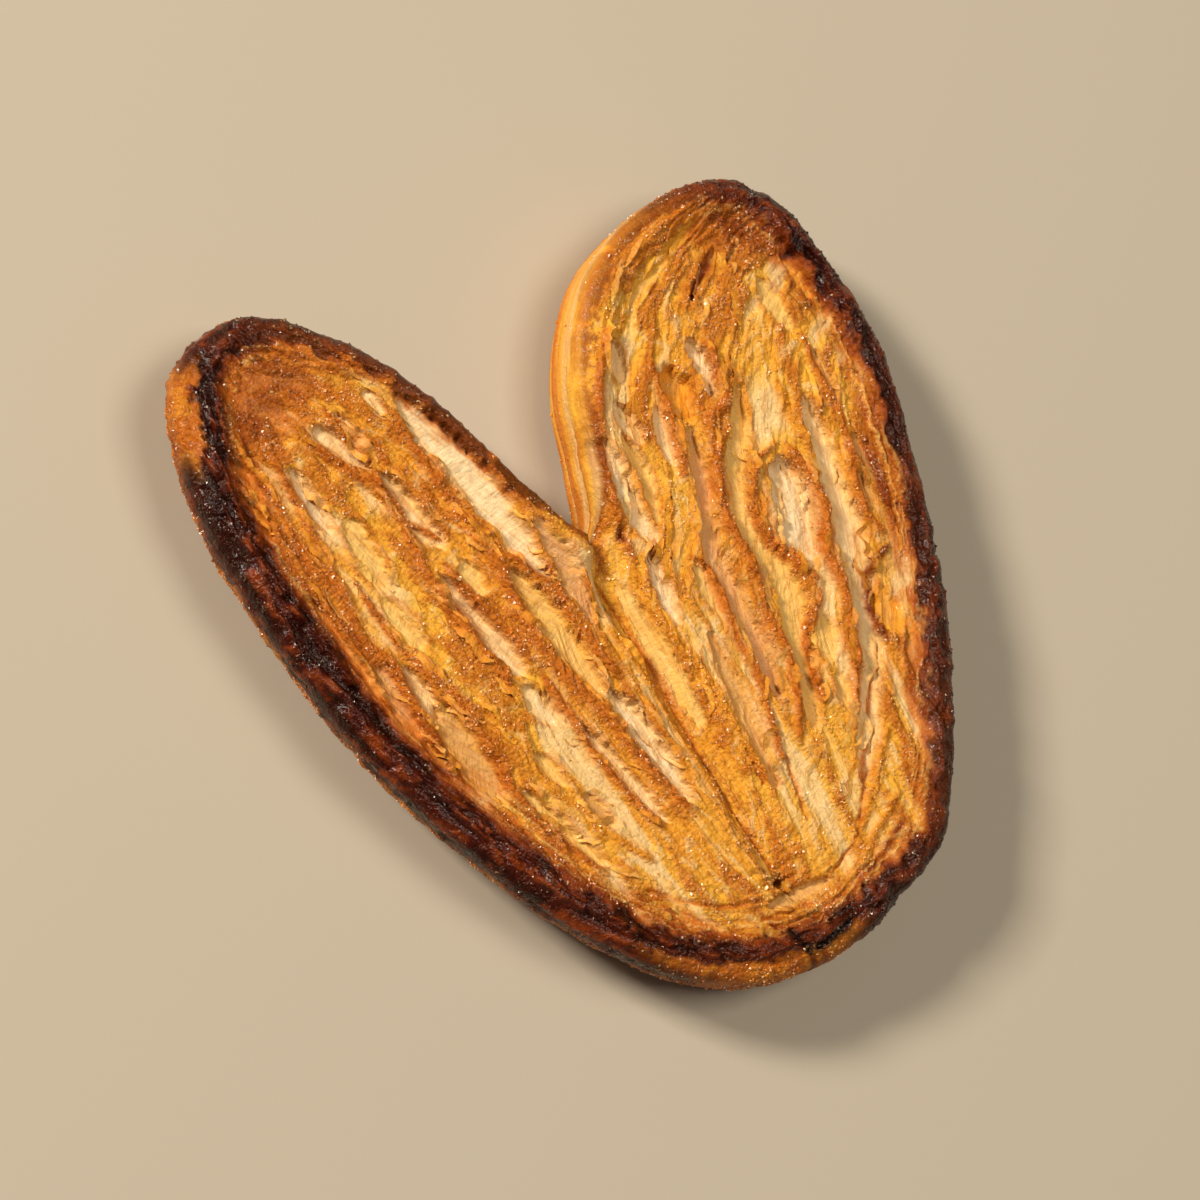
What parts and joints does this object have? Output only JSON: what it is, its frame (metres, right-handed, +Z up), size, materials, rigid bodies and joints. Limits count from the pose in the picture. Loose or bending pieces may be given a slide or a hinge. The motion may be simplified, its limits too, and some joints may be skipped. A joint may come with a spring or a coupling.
{
  "type": "palmier pastry",
  "caption": "Heart-shaped flaky pastry lying flat, with two rolled lobes, a V-shaped cleft, raised caramel rim and strands that gather at the base.",
  "frame": {"origin": "centre of the bottom of the bounding box, on the surface the pastry rests on", "axes": "+Z up out of the caramelised face, +Y from the point of the heart towards the two lobes, +X towards the shorter, wider lobe"},
  "size_m": [0.0854, 0.0954, 0.0132],
  "materials": {
    "crust": "golden flaky baked crust, glossy dark caramel on the rim"
  },
  "bodies": {
    "root": {"palmier": "crust"}
  },
  "joints": []
}
